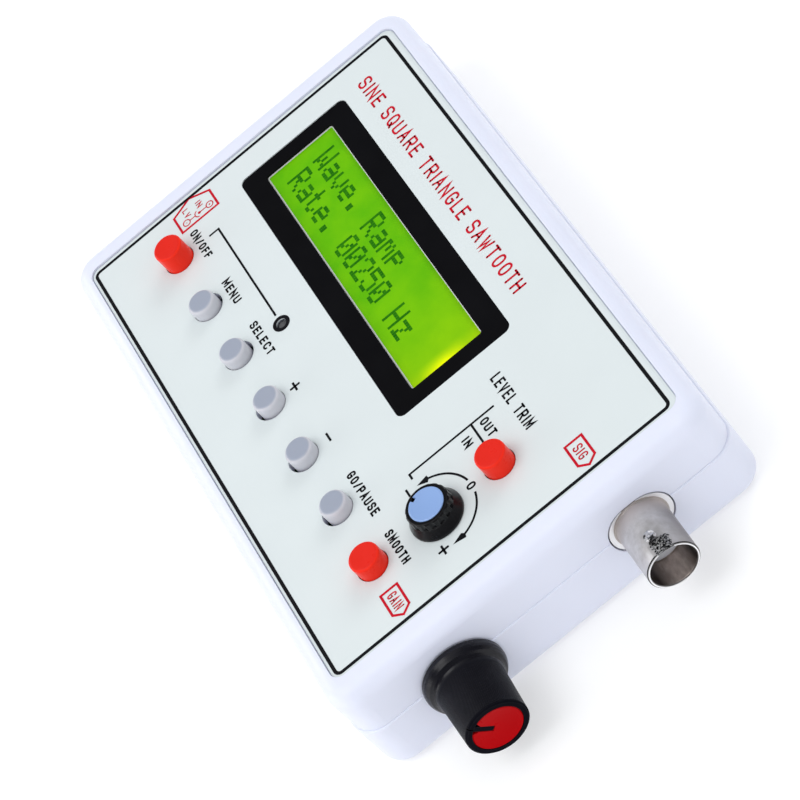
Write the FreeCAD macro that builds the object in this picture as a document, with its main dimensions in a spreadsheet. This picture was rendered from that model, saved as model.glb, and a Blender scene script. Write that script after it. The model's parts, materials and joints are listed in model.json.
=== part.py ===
import FreeCAD, Part
import math
import os
import re
import Sketcher

# A hand-held function generator in a two-part plastic casing.
# Frame: +Z up, +X towards the output socket, +Y towards the title edge of the panel,
# origin at the centre of the flat underside. All sizes are in millimetres.

Vector = FreeCAD.Vector
document = FreeCAD.newDocument("function_generator")

# ---------------------------------------------------------------- driving dimensions
SIZES = {
    # casing
    "shell_length": 125.0,
    "shell_width": 77.0,
    "shell_height": 22.0,
    "base_proud": 0.3,
    "seam_height": 11.5,
    "corner_radius": 5.0,
    "top_round": 3.0,
    "base_round": 2.0,
    "end_cut": 6.0,
    "screw_recess": 1.7,
    "wall": 2.0,
    "floor": 1.8,
    "roof_under": 19.5,
    "tongue": 1.0,
    "tongue_height": 1.2,
    "gap": 0.05,
    "post_x": 56.6,
    "post_y": 32.6,
    "post_radius": 3.2,
    "case_screw_radius": 1.25,
    "case_screw_head": 2.5,
    "case_screw_length": 16.0,
    # printed panel
    "recess_length": 115.4,
    "recess_width": 71.0,
    "recess_round": 2.2,
    "recess_depth": 0.7,
    "panel_thickness": 0.3,
    "panel_margin": 0.15,
    # display module
    "display_x": -14.86,
    "display_y": 8.9,
    "bezel_length": 71.7,
    "bezel_width": 24.1,
    "bezel_round": 1.4,
    "bezel_sheet": 0.5,
    "bezel_top": 21.5,
    "window_x": -15.05,
    "window_length": 64.9,
    "window_width": 15.1,
    "glass_top": 20.9,
    "glass_bottom": 18.0,
    "display_board_length": 80.0,
    "display_board_width": 36.0,
    "display_board_bottom": 12.7,
    "display_hole_x": 37.5,
    "display_hole_y": 15.5,
    "display_blob_x": 16.0,
    "display_blob": 1.2,
    "header_pitch": 2.54,
    "header_pins": 16,
    # main circuit board
    "board_length": 118.0,
    "board_width": 58.0,
    "board_bottom": 3.4,
    "board_thickness": 1.6,
    "board_screw_radius": 1.2,
    "board_screw_head": 2.2,
    "board_post": 2.6,
    "thread_gap": 0.02,
    "hole_gap": 0.15,
    # row of buttons
    "button_pitch": 14.66,
    "button_start": -45.07,
    "button_row": -20.2,
    "button_hole": 3.0,
    "cap_shift": 0.25,
    "grey_cap_radius": 2.65,
    "grey_cap_top": 24.1,
    "grey_cap_depth": 9.6,
    "grey_cap_round": 0.75,
    "tact_side": 6.0,
    "tact_height": 3.5,
    "tact_stem_radius": 1.7,
    "red_cap_radius": 2.85,
    "red_cap_depth": 7.4,
    "red_cap_round": 0.5,
    "red_cap_dish": 0.2,
    "power_cap_top": 26.0,
    "filter_cap_top": 24.9,
    "offset_cap_top": 25.3,
    "offset_button_x": 43.2,
    "offset_button_y": 6.2,
    "latch_side": 8.0,
    "latch_height": 8.5,
    "latch_stem_side": 3.0,
    # indicator
    "led_x": -15.2,
    "led_y": -10.87,
    "led_radius": 1.5,
    # offset knob and its potentiometer
    "offset_knob_x": 43.35,
    "offset_knob_y": -6.85,
    "offset_knob_base": 5.0,
    "offset_knob_grip": 4.05,
    "offset_knob_band": 1.55,
    "offset_knob_top": 25.3,
    "offset_cap_radius": 3.23,
    "offset_pointer": 209.0,
    "pot_shaft_radius": 3.0,
    "pot_shaft_gap": 0.05,
    "flute_radius": 0.75,
    "flute_depth": 0.16,
    "pointer_half": 0.42,
    "pointer_length": 0.85,
    # amplitude knob and its potentiometer
    "amplitude_y": -19.25,
    "amplitude_z": 9.65,
    "amplitude_flange": 7.4,
    "amplitude_root": 5.95,
    "amplitude_face": 5.6,
    "amplitude_reach": 13.6,
    "amplitude_insert": 4.48,
    "amplitude_hole": 3.8,
    "amplitude_groove_half": 0.16,
    "amplitude_hub": 5.2,
    "amplitude_hub_depth": 3.2,
    "amplitude_bushing": 3.6,
    "amplitude_pointer": 130.5,
    "amplitude_arm": 0.94,
    "amplitude_slot_half": 0.54,
    # output socket
    "output_y": 18.5,
    "output_z": 11.0,
    "output_opening_width": 12.25,
    "output_opening_height": 10.0,
    "output_plate_width": 11.8,
    "output_plate_height": 9.66,
    "output_barrel": 4.7,
    "output_bore": 4.1,
    "output_reach": 11.5,
    "output_lug_back": 3.5,
    "output_lug_radius": 1.0,
    "output_lug_tip": 5.5,
    "output_face_back": 5.8,
    "output_rim_chamfer": 0.3,
    "output_seat": 3.9,
    "output_contact": 0.7,
    "output_contact_bore": 0.48,
    "output_tail": 9.0,
    "output_plate_back": -0.7,
    "output_plate_front": 0.1,
    "output_ring": 4.82,
    "output_ring_front": 0.38,
    "output_flat_depth": 0.22,
    "output_housing_side": 14.0,
    # power socket
    "jack_y": -13.9,
    "jack_z": 11.5,
    "jack_width": 9.0,
    "jack_height": 11.0,
    "jack_length": 13.0,
    "jack_depth": 10.0,
    "jack_gap": 0.3,
    "jack_round": 1.2,
    "jack_bore": 3.2,
    "jack_pin": 1.05,
    "jack_pin_back": 1.8,
    "jack_tail": 0.8,
}

sheet = document.addObject("Spreadsheet::Sheet", "size")
for row, (alias, size) in enumerate(SIZES.items(), start=1):
    sheet.set("A%d" % row, alias)
    sheet.set("B%d" % row, str(size))
    sheet.setAlias("B%d" % row, alias)
document.recompute()

# ---------------------------------------------------------------- helpers
nodes = {}


def bound(text):
    """An expression on the sheet, from one written with the bare names of its cells."""
    return re.sub(r"[a-z_]+", lambda word: "size." + word.group() if word.group() in SIZES
                  else word.group(), str(text))


def number(text):
    """The present value of an expression."""
    return float(sheet.evalExpression(bound(text).replace("size.", "")))


def place(thing, x, y, z, turn=None):
    """Turn an object, then bind its position to the sheet."""
    if turn is not None:
        thing.Placement = FreeCAD.Placement(Vector(0, 0, 0), turn)
    for letter, text in zip("xyz", (x, y, z)):
        thing.setExpression("Placement.Base." + letter, bound(text))
    return thing


ALONG_X = FreeCAD.Rotation(Vector(0, 1, 0), 90)
counter = {"made": 0}


def fresh(kind):
    """A helper object with a running name."""
    counter["made"] += 1
    return document.addObject(kind, "piece_%d" % counter["made"])


def block(x, y, z, length, width, height):
    """A box centred on x and y, standing on z."""
    box = fresh("Part::Box")
    box.setExpression("Length", bound(length))
    box.setExpression("Width", bound(width))
    box.setExpression("Height", bound(height))
    return place(box, "%s - (%s) / 2" % (x, length), "%s - (%s) / 2" % (y, width), z)


def rod(x, y, z, radius, height, turn=None):
    """A cylinder that starts at x, y, z and runs up, or along +X when turned."""
    cylinder = fresh("Part::Cylinder")
    cylinder.setExpression("Radius", bound(radius))
    cylinder.setExpression("Height", bound(height))
    return place(cylinder, x, y, z, turn)


def taper(x, y, z, low_radius, high_radius, height):
    """An upright cone frustum."""
    cone = fresh("Part::Cone")
    cone.setExpression("Radius1", bound(low_radius))
    cone.setExpression("Radius2", bound(high_radius))
    cone.setExpression("Height", bound(height))
    return place(cone, x, y, z)


def fused(*shapes):
    """One solid from several that touch or overlap."""
    result = fresh("Part::MultiFuse")
    result.Shapes = list(shapes)
    result.Refine = True
    return result


def less(base, *tools):
    """A solid with others cut out of it."""
    result = fresh("Part::Cut")
    result.Base = base
    result.Tool = tools[0] if len(tools) == 1 else group(*tools)
    return result


def group(*shapes):
    """Separate solids kept together."""
    result = fresh("Part::Compound")
    result.Links = list(shapes)
    return result


def rounded_edges(base, radius, wanted):
    """Round the edges for which wanted(edge) is true."""
    document.recompute()
    result = fresh("Part::Fillet")
    result.Base = base
    edges = enumerate(base.Shape.Edges, start=1)
    result.Edges = [(index, number(radius), number(radius)) for index, edge in edges if wanted(edge)]
    return result


def node(label, thing):
    """Give a finished sub-part its name."""
    thing.Label = label
    nodes[label] = thing
    return thing


def new_body(label, x="0", y="0", z="0", turn=None):
    """A PartDesign body that is a sub-part by itself."""
    body = document.addObject("PartDesign::Body", label + "_body")
    place(body, x, y, z, turn)
    return node(label, body)


def new_sketch(body, role="XY_Plane", height="0"):
    """A sketch on one of the body's own origin planes, raised along its normal."""
    counter["made"] += 1
    sketch = body.newObject("Sketcher::SketchObject", "sketch_%d" % counter["made"])
    plane = [item for item in body.Origin.OriginFeatures if item.Role == role][0]
    sketch.AttachmentSupport = [(plane, "")]
    sketch.MapMode = "FlatFace"
    sketch.setExpression("AttachmentOffset.Base.z", bound(height))
    return sketch


def fix(sketch, geometry, point, x, y):
    """Bind a point of a sketch to the sheet."""
    for kind, text in (("DistanceX", x), ("DistanceY", y)):
        rule = Sketcher.Constraint(kind, -1, 1, geometry, point, number(text))
        sketch.setExpression("Constraints[%d]" % sketch.addConstraint(rule), bound(text))


def draw_outline(sketch, corners):
    """A closed outline of straight lines through corners given as pairs of expressions."""
    spots = [Vector(number(x), number(y), 0) for x, y in corners]
    first = sketch.GeometryCount
    count = len(corners)
    for index in range(count):
        sketch.addGeometry(Part.LineSegment(spots[index], spots[(index + 1) % count]), False)
    for index in range(count):
        following = first + (index + 1) % count
        sketch.addConstraint(Sketcher.Constraint("Coincident", first + index, 2, following, 1))
    for index, (x, y) in enumerate(corners):
        fix(sketch, first + index, 1, x, y)


def draw_circle(sketch, x, y, radius):
    """A circle whose centre and radius are bound to the sheet."""
    circle = Part.Circle(Vector(number(x), number(y), 0), Vector(0, 0, 1), number(radius))
    index = sketch.addGeometry(circle, False)
    fix(sketch, index, 3, x, y)
    rule = sketch.addConstraint(Sketcher.Constraint("Radius", index, number(radius)))
    sketch.setExpression("Constraints[%d]" % rule, bound(radius))


def draw_rounded(sketch, x, y, length, width, radius):
    """A rectangle with rounded corners, centred on x and y."""
    left = "(%s) - (%s) / 2 + (%s)" % (x, length, radius)
    right = "(%s) + (%s) / 2 - (%s)" % (x, length, radius)
    low = "(%s) - (%s) / 2 + (%s)" % (y, width, radius)
    high = "(%s) + (%s) / 2 - (%s)" % (y, width, radius)
    turn = number(radius)
    centres = [(left, low), (right, low), (right, high), (left, high)]
    first = sketch.GeometryCount
    spots = []
    for index, (across, up) in enumerate(centres):
        centre = Vector(number(across), number(up), 0)
        start = math.pi + index * math.pi / 2
        end = start + math.pi / 2
        circle = Part.Circle(centre, Vector(0, 0, 1), turn)
        sketch.addGeometry(Part.ArcOfCircle(circle, start, end), False)
        for angle in (start, end):
            spots.append(centre + Vector(turn * math.cos(angle), turn * math.sin(angle), 0))
    for index in range(4):
        line = Part.LineSegment(spots[2 * index + 1], spots[(2 * index + 2) % 8])
        sketch.addGeometry(line, False)
    for index in range(4):
        arc = first + index
        line = first + 4 + index
        following = first + (index + 1) % 4
        sketch.addConstraint(Sketcher.Constraint("Tangent", arc, 2, line, 1))
        sketch.addConstraint(Sketcher.Constraint("Tangent", line, 2, following, 1))
        level = "Horizontal" if index % 2 == 0 else "Vertical"
        sketch.addConstraint(Sketcher.Constraint(level, line))
    for index in range(1, 4):
        sketch.addConstraint(Sketcher.Constraint("Equal", first, first + index))
    rule = sketch.addConstraint(Sketcher.Constraint("Radius", first, turn))
    sketch.setExpression("Constraints[%d]" % rule, bound(radius))
    for index in (0, 2):
        fix(sketch, first + index, 3, *centres[index])


def feature(body, kind, sketch, length=None, flipped=False):
    """Add a Pad or a Pocket, and confirm that it changed the volume."""
    counter["made"] += 1
    before = body.Shape.Volume if body.Tip is not None else 0.0
    made = body.newObject("PartDesign::" + kind, "feature_%d" % counter["made"])
    made.Profile = sketch
    if length is not None:
        made.setExpression("Length", bound(length))
    made.Reversed = flipped
    sketch.Visibility = False
    document.recompute()
    change = body.Shape.Volume - before
    if change * (1 if kind == "Pad" else -1) < 1e-6:
        raise RuntimeError("%s of %s changed nothing" % (kind, body.Label))
    return made


def pad(body, sketch, length, flipped=False):
    return feature(body, "Pad", sketch, length, flipped)


def pocket(body, sketch, length, flipped=False):
    return feature(body, "Pocket", sketch, length, flipped)


def lathe(body, corners, kind="Revolution"):
    """Turn an outline of (radius, height) corners about the body's Z axis."""
    sketch = new_sketch(body, "XZ_Plane")
    draw_outline(sketch, corners)
    counter["made"] += 1
    made = body.newObject("PartDesign::" + kind, "feature_%d" % counter["made"])
    made.Profile = sketch
    made.ReferenceAxis = (sketch, ["V_Axis"])
    made.Angle = 360
    sketch.Visibility = False
    document.recompute()
    return made


def dress(body, kind, amount, wanted):
    """Add a Fillet or a Chamfer on the edges of the tip for which wanted(edge) is true."""
    document.recompute()
    tip = body.Tip
    names = ["Edge%d" % index for index, edge in enumerate(tip.Shape.Edges, start=1)
             if wanted(edge)]
    counter["made"] += 1
    made = body.newObject("PartDesign::" + kind, "feature_%d" % counter["made"])
    made.Base = (tip, names)
    made.setExpression("Radius" if kind == "Fillet" else "Size", bound(amount))
    document.recompute()
    return made


def around(body, source, count):
    """Repeat a feature about the body's Z axis."""
    counter["made"] += 1
    made = body.newObject("PartDesign::PolarPattern", "feature_%d" % counter["made"])
    made.Originals = [source]
    axis = [item for item in body.Origin.OriginFeatures if item.Role == "Z_Axis"][0]
    made.Axis = (axis, [""])
    made.Angle = 360
    made.Occurrences = count
    body.Tip = made
    document.recompute()
    return made


def flat_at(height):
    """A test for edges that lie flat at a height."""
    level = number(height)
    return lambda edge: (abs(edge.BoundBox.ZMin - level) < 1e-3
                         and abs(edge.BoundBox.ZMax - level) < 1e-3)


# ---------------------------------------------------------------- shared places
board_top = "(board_bottom + board_thickness)"
end_wall = "(shell_length / 2)"
panel_floor = "(shell_height - recess_depth)"
posts = [("post_x * %d" % a, "post_y * %d" % b) for a in (-1, 1) for b in (-1, 1)]
board_screws = [("-56", "14"), ("-56", "-24"), ("36", "25.5"), ("36", "-26")]
display_holes = [("display_x + display_hole_x * %d" % a, "display_y + display_hole_y * %d" % b)
                 for a in (-1, 1) for b in (-1, 1)]
button_x = ["button_start + button_pitch * %d" % index for index in range(7)]
tact_buttons = [
    ("mode", button_x[1], "button_row - cap_shift"),
    ("cursor", button_x[2], "button_row - cap_shift"),
    ("increase", button_x[3], "button_row + cap_shift"),
    ("decrease", button_x[4], "button_row + cap_shift"),
    ("run_stop", button_x[5], "button_row + cap_shift"),
]
latch_buttons = [
    ("power", button_x[0], "button_row + cap_shift", "power_cap_top"),
    ("filter", button_x[6], "button_row", "filter_cap_top"),
    ("offset", "offset_button_x", "offset_button_y", "offset_cap_top"),
]
panel_holes = [(x, "button_row") for x in button_x[1:]] + [
    ("offset_button_x", "offset_button_y"), (button_x[0], "button_row + cap_shift")]
jack_front = "(-(shell_length / 2) - base_proud + 0.5)"
header_start = "display_x - display_hole_x + 5.5"
header_y = "display_y + display_hole_y"


def cut_end_openings(body):
    """Cut the openings that both shells share: output socket, amplitude shaft, power socket."""
    sketch = new_sketch(body, "YZ_Plane", "shell_length / 2 - end_cut")
    draw_rounded(sketch, "output_y", "output_z", "output_opening_width", "output_opening_height",
                 "output_opening_height / 2 - 0.05")
    draw_circle(sketch, "amplitude_y", "amplitude_z", "amplitude_hole")
    pocket(body, sketch, "2 * end_cut", flipped=True)
    sketch = new_sketch(body, "YZ_Plane", "-(shell_length / 2) + end_cut")
    draw_rounded(sketch, "jack_y", board_top + " + jack_height / 2", "jack_width + 2 * jack_gap",
                 "jack_height + 2 * jack_gap", "3 * jack_gap")
    pocket(body, sketch, "2 * end_cut")


# ---------------------------------------------------------------- casing
def bottom_shell():
    body = new_body("bottom_shell")
    length = "shell_length + 2 * base_proud"
    width = "shell_width + 2 * base_proud"
    sketch = new_sketch(body)
    draw_rounded(sketch, "0", "0", length, width, "corner_radius")
    pad(body, sketch, "seam_height")
    dress(body, "Fillet", "base_round", flat_at("0"))
    dress(body, "Fillet", "0.3", flat_at("seam_height"))
    sketch = new_sketch(body, height="seam_height")
    draw_rounded(sketch, "0", "0", "shell_length - 2 * wall", "shell_width - 2 * wall",
                 "corner_radius - wall")
    pocket(body, sketch, "seam_height - floor")
    sketch = new_sketch(body, height="seam_height - 1")
    inner = "shell_length - 2 * wall"
    across = "shell_width - 2 * wall"
    draw_rounded(sketch, "0", "0", inner, across, "corner_radius - wall")
    draw_rounded(sketch, "0", "0", inner + " + 2 * tongue", across + " + 2 * tongue",
                 "corner_radius - wall + tongue")
    pad(body, sketch, "tongue_height + 1")
    sketch = new_sketch(body, height="floor - 0.5")
    for x, y in posts:
        draw_circle(sketch, x, y, "post_radius")
    pad(body, sketch, "seam_height - floor + 0.5")
    sketch = new_sketch(body, height="floor - 0.5")
    for x, y in board_screws:
        draw_circle(sketch, x, y, "board_post")
    pad(body, sketch, "board_bottom - floor + 0.5")
    sketch = new_sketch(body, height="board_bottom")
    for x, y in board_screws:
        draw_circle(sketch, x, y, "board_screw_radius + thread_gap")
    pocket(body, sketch, "2.6")
    sketch = new_sketch(body, height="seam_height")
    for x, y in posts:
        draw_circle(sketch, x, y, "case_screw_radius + hole_gap")
    pocket(body, sketch, "seam_height + 1")
    sketch = new_sketch(body)
    for x, y in posts:
        draw_circle(sketch, x, y, "case_screw_head + 0.2")
    pocket(body, sketch, "screw_recess", flipped=True)
    cut_end_openings(body)


def top_shell():
    body = new_body("top_shell")
    sketch = new_sketch(body, height="seam_height")
    draw_rounded(sketch, "0", "0", "shell_length", "shell_width", "corner_radius")
    pad(body, sketch, "shell_height - seam_height")
    dress(body, "Fillet", "top_round", flat_at("shell_height"))
    sketch = new_sketch(body, height="seam_height")
    draw_rounded(sketch, "0", "0", "shell_length - 2 * wall", "shell_width - 2 * wall",
                 "corner_radius - wall")
    pocket(body, sketch, "roof_under - seam_height", flipped=True)
    sketch = new_sketch(body, height="seam_height")
    draw_rounded(sketch, "0", "0", "shell_length - 2 * wall + 2 * tongue + 2 * gap",
                 "shell_width - 2 * wall + 2 * tongue + 2 * gap",
                 "corner_radius - wall + tongue + gap")
    pocket(body, sketch, "tongue_height + gap", flipped=True)
    sketch = new_sketch(body, height="shell_height")
    draw_rounded(sketch, "0", "0", "recess_length", "recess_width", "recess_round")
    pocket(body, sketch, "recess_depth")
    sketch = new_sketch(body, height="shell_height")
    draw_rounded(sketch, "display_x", "display_y", "bezel_length + 0.5", "bezel_width + 0.5",
                 "bezel_round + 0.25")
    for x, y in panel_holes:
        draw_circle(sketch, x, y, "button_hole")
    draw_circle(sketch, "led_x", "led_y", "led_radius + 0.15")
    draw_circle(sketch, "offset_knob_x", "offset_knob_y", "pot_shaft_radius + 0.6")
    pocket(body, sketch, "shell_height - roof_under + 1")
    sketch = new_sketch(body, height="seam_height + gap")
    for x, y in posts:
        draw_circle(sketch, x, y, "post_radius")
    pad(body, sketch, "roof_under - seam_height + 0.3")
    sketch = new_sketch(body, height="seam_height")
    for x, y in posts:
        draw_circle(sketch, x, y, "case_screw_radius + thread_gap")
    pocket(body, sketch, "6.5", flipped=True)
    cut_end_openings(body)


def panel_overlay():
    body = new_body("panel_overlay")
    sketch = new_sketch(body, height=panel_floor)
    draw_rounded(sketch, "0", "0", "recess_length - 2 * panel_margin",
                 "recess_width - 2 * panel_margin", "recess_round - panel_margin")
    draw_rounded(sketch, "display_x", "display_y", "bezel_length + 0.12", "bezel_width + 0.12",
                 "bezel_round + 0.06")
    for x, y in panel_holes:
        draw_circle(sketch, x, y, "button_hole")
    draw_circle(sketch, "led_x", "led_y", "led_radius - 0.45")
    draw_circle(sketch, "offset_knob_x", "offset_knob_y", "pot_shaft_radius + 0.6")
    pad(body, sketch, "panel_thickness")


def self_tapping_screw(x, y, bottom, head_radius, shank_radius, length, head_up):
    """A cross-headed screw with a pan head, which faces up or down."""
    if head_up:
        top = "(%s + %s)" % (bottom, length)
        head = fused(rod(x, y, top, head_radius, "0.9"),
                     taper(x, y, top + " + 0.9", head_radius, head_radius + " - 0.4", "0.5"))
        shank = rod(x, y, bottom, shank_radius, length + " + 0.1")
        cross_z = top + " + 0.6"
    else:
        head = fused(taper(x, y, bottom, head_radius + " - 0.4", head_radius, "0.5"),
                     rod(x, y, bottom + " + 0.5", head_radius, "0.95"))
        shank = rod(x, y, bottom + " + 1", shank_radius, length + " - 1")
        cross_z = bottom + " - 0.2"
    cross = fused(block(x, y, cross_z, head_radius + " * 1.2", "0.5", "1"),
                  block(x, y, cross_z, "0.5", head_radius + " * 1.2", "1"))
    return less(fused(head, shank), cross)


def fasteners():
    screws = [self_tapping_screw(x, y, "0.25", "case_screw_head", "case_screw_radius",
                                 "case_screw_length", False) for x, y in posts]
    node("case_screws", group(*screws))
    screws = [self_tapping_screw(x, y, "1.0", "board_screw_head", "board_screw_radius",
                                 board_top + " - 1.0", True) for x, y in board_screws]
    node("board_screws", group(*screws))
    top = "(display_board_bottom + board_thickness)"
    screws = [self_tapping_screw(x, y, top + " - 5.6", "board_screw_head", "board_screw_radius",
                                 "5.6", True) for x, y in display_holes]
    node("display_screws", group(*screws))


# ---------------------------------------------------------------- display module
def display():
    board = new_body("display_circuit_board")
    sketch = new_sketch(board, height="display_board_bottom")
    draw_rounded(sketch, "display_x", "display_y", "display_board_length",
                 "display_board_width", "0.5")
    for x, y in display_holes:
        draw_circle(sketch, x, y, "board_screw_radius + hole_gap")
    pad(board, sketch, "board_thickness")
    header_holes(board, "display_board_bottom")

    bezel = new_body("display_bezel")
    foot = "(display_board_bottom + board_thickness)"
    sketch = new_sketch(bezel, height=foot)
    draw_rounded(sketch, "display_x", "display_y", "bezel_length", "bezel_width", "bezel_round")
    pad(bezel, sketch, "bezel_top - " + foot)
    dress(bezel, "Fillet", "0.12", flat_at("bezel_top"))
    sketch = new_sketch(bezel, height=foot)
    draw_rounded(sketch, "display_x", "display_y", "bezel_length - 2 * bezel_sheet",
                 "bezel_width - 2 * bezel_sheet", "bezel_round - bezel_sheet")
    pocket(bezel, sketch, "bezel_top - bezel_sheet - " + foot, flipped=True)
    sketch = new_sketch(bezel, height="bezel_top")
    draw_rounded(sketch, "window_x", "display_y", "window_length", "window_width", "0.5")
    pocket(bezel, sketch, "bezel_sheet + 1")

    inside_x = "bezel_length - 2 * bezel_sheet - 0.2"
    inside_y = "bezel_width - 2 * bezel_sheet - 0.2"
    layers = [("display_glass", "glass_bottom", "glass_top - glass_bottom"),
              ("display_backlight", foot, "glass_bottom - gap - " + foot)]
    for name, low, height in layers:
        layer = block("display_x", "display_y", low, inside_x, inside_y, height)
        node(name, rounded_edges(layer, "bezel_round - bezel_sheet",
                                 lambda edge: edge.BoundBox.ZLength > 2))
    blobs = [taper("display_x + display_blob_x * %d" % side, "display_y - 2",
                   "display_board_bottom - display_blob", "4", "5", "display_blob")
             for side in (-1, 1)]
    node("display_driver_chips", group(*blobs))

    spacers = []
    for x, y in display_holes:
        post = rod(x, y, board_top, "2.4", "display_board_bottom - " + board_top)
        peg = rod(x, y, "board_bottom", "1.4", "board_thickness + 0.1")
        bore = rod(x, y, "display_board_bottom - 4.5", "board_screw_radius + thread_gap", "5")
        spacers.append(less(fused(post, peg), bore))
    node("display_spacers", group(*spacers))


def header_holes(body, height):
    """The row of plated holes for the display connector."""
    sketch = new_sketch(body, height=height)
    draw_circle(sketch, header_start, header_y, "0.5")
    hole = pocket(body, sketch, "board_thickness + 1", flipped=True)
    counter["made"] += 1
    row = body.newObject("PartDesign::LinearPattern", "feature_%d" % counter["made"])
    row.Originals = [hole]
    axis = [item for item in body.Origin.OriginFeatures if item.Role == "X_Axis"][0]
    row.Direction = (axis, [""])
    row.setExpression("Length", bound("header_pitch * (header_pins - 1)"))
    row.setExpression("Occurrences", bound("header_pins"))
    body.Tip = row
    document.recompute()


def header():
    count = int(number("header_pins"))
    middle = header_start + " + header_pitch * (header_pins - 1) / 2"
    strip = block(middle, header_y, board_top, "header_pitch * header_pins", "2.5",
                  "display_board_bottom - " + board_top)
    bores = []
    pins = []
    for index in range(count):
        x = header_start + " + header_pitch * %d" % index
        bores.append(block(x, header_y, board_top + " - 1", "0.7", "0.7",
                           "display_board_bottom - " + board_top + " + 2"))
        pins.append(block(x, header_y, "board_bottom - 1", "0.6", "0.6",
                          "display_board_bottom - board_bottom + board_thickness + 2"))
    node("display_connector", less(strip, *bores))
    node("display_connector_pins", group(*pins))


# ---------------------------------------------------------------- main circuit board
def main_board():
    body = new_body("main_circuit_board")
    sketch = new_sketch(body, height="board_bottom")
    draw_rounded(sketch, "0", "0", "board_length", "board_width", "2")
    for x, y in board_screws:
        draw_circle(sketch, x, y, "board_screw_radius + hole_gap")
    for x, y in display_holes:
        draw_circle(sketch, x, y, "1.42")
    pad(body, sketch, "board_thickness")
    header_holes(body, "board_bottom")


def chip(x, y, length, width, height, lead_rows, pitch):
    """A moulded chip on its leads, which run along the two long sides."""
    body = block(x, y, board_top + " + 0.15", length, width, height)
    leads = []
    for side in (-1, 1):
        for index in range(lead_rows):
            along = (index - (lead_rows - 1) / 2) * pitch
            leads.append(block("%s + %g" % (x, along), "%s + %d * (%s / 2 + 0.4)"
                               % (y, side, width), board_top, "0.35", "1", "0.6"))
    return fused(body, *leads)


# chips: x, y, length, width, height, leads on each side, lead pitch
CHIPS = {
    "microcontroller": ("-22", "-1", "12", "10", "1.5", 14, 0.8),
    "output_amplifier": ("28", "17", "5", "4", "1.5", 4, 1.27),
    "negative_supply_chip": ("-36", "-3", "5", "4", "1.5", 4, 1.27),
}
REGULATOR_X = "-41"
REGULATOR_Y = "11"
CAN_PLACES = (("-46", "-2"), ("33", "8"), ("33", "0"))
LADDER_START = 2
LADDER_PITCH = 2.2
LADDER_ROWS = (0, 4)
LADDER_COLUMNS = 8
SMALL_CAPACITORS = (-34, -21, -8, 5, 18)
CHOKE_X = "40"
CHOKE_Y = "20"


def electronics():
    for label, values in CHIPS.items():
        node(label, chip(*values))
    regulator = fused(block(REGULATOR_X, REGULATOR_Y, board_top, "6.5", "3.5", "1.6"),
                      block(REGULATOR_X, REGULATOR_Y + " + 2.4", board_top, "3", "1.6", "0.5"))
    node("voltage_regulator", regulator)
    crystal_can = rounded_edges(block("-8", "-2", board_top, "11", "4.6", "3.5"), "1.2",
                                lambda edge: edge.BoundBox.ZLength > 3)
    node("crystal", crystal_can)
    cans = []
    for x, y in CAN_PLACES:
        can = rod(x, y, board_top + " + 0.3", "2.5", "5.4")
        foot = block(x, y, board_top, "5.3", "5.3", "0.4")
        cans.append(fused(can, foot))
    node("electrolytic_capacitors", group(*cans))
    ladder = []
    for row in LADDER_ROWS:
        for column in range(LADDER_COLUMNS):
            x = LADDER_START + column * LADDER_PITCH
            ladder.append(block("%g" % x, str(row), board_top, "1.2", "2", "0.5"))
    node("converter_resistors", group(*ladder))
    node("chip_capacitors", group(*[block(str(x), "18", board_top, "2", "1.2", "0.8")
                                    for x in SMALL_CAPACITORS]))
    choke = fused(block(CHOKE_X, CHOKE_Y, board_top, "5", "5", "0.5"),
                  rod(CHOKE_X, CHOKE_Y, board_top + " + 0.4", "2.3", "2.4"))
    node("filter_inductor", choke)


def indicator():
    body = new_body("power_led", "led_x", "led_y")
    lathe(body, [
        ("0", "16.5"), ("led_radius + 0.4", "16.5"), ("led_radius + 0.4", "17.5"),
        ("led_radius", "17.5"), ("led_radius", "20.3"), ("led_radius * 0.8", "20.85"),
        ("led_radius * 0.45", "21.1"), ("0", "21.2"),
    ])
    sketch = new_sketch(body, height=board_top)
    for side in (-1, 1):
        draw_circle(sketch, "%g" % (side * 1.27), "0", "0.3")
    pad(body, sketch, "16.6 - " + board_top)


# ---------------------------------------------------------------- push buttons
def tact_switches():
    covers = []
    bodies = []
    for name, x, y in tact_buttons:
        case = block(x, y, board_top, "tact_side", "tact_side", "tact_height")
        bore = rod(x, y, board_top + " + 1", "tact_stem_radius + 0.1", "tact_height")
        bodies.append(less(case, bore))
        plate_z = board_top + " + tact_height"
        plate = block(x, y, plate_z, "tact_side - 0.2", "tact_side - 0.2", "0.3")
        hole = rod(x, y, plate_z + " - 0.1", "tact_stem_radius + 0.1", "0.5")
        covers.append(less(plate, hole))
        stem_top = "grey_cap_top - 4.4"
        stem_low = "(%s + 1.6)" % board_top
        node(name + "_switch_stem", rod(x, y, stem_low, "tact_stem_radius",
                                        "%s - %s" % (stem_top, stem_low)))
        cap = new_body(name + "_button_cap", x, y, "grey_cap_top - grey_cap_depth")
        lathe(cap, [
            ("tact_stem_radius + 0.02", "0"), ("grey_cap_radius", "0"),
            ("grey_cap_radius", "grey_cap_depth"), ("0", "grey_cap_depth"),
            ("0", "grey_cap_depth - 4.2"), ("tact_stem_radius + 0.02", "grey_cap_depth - 4.2"),
        ])
        dress(cap, "Fillet", "grey_cap_round", flat_at("grey_cap_depth"))
    node("tactile_switch_bodies", group(*bodies))
    node("tactile_switch_covers", group(*covers))


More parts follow.
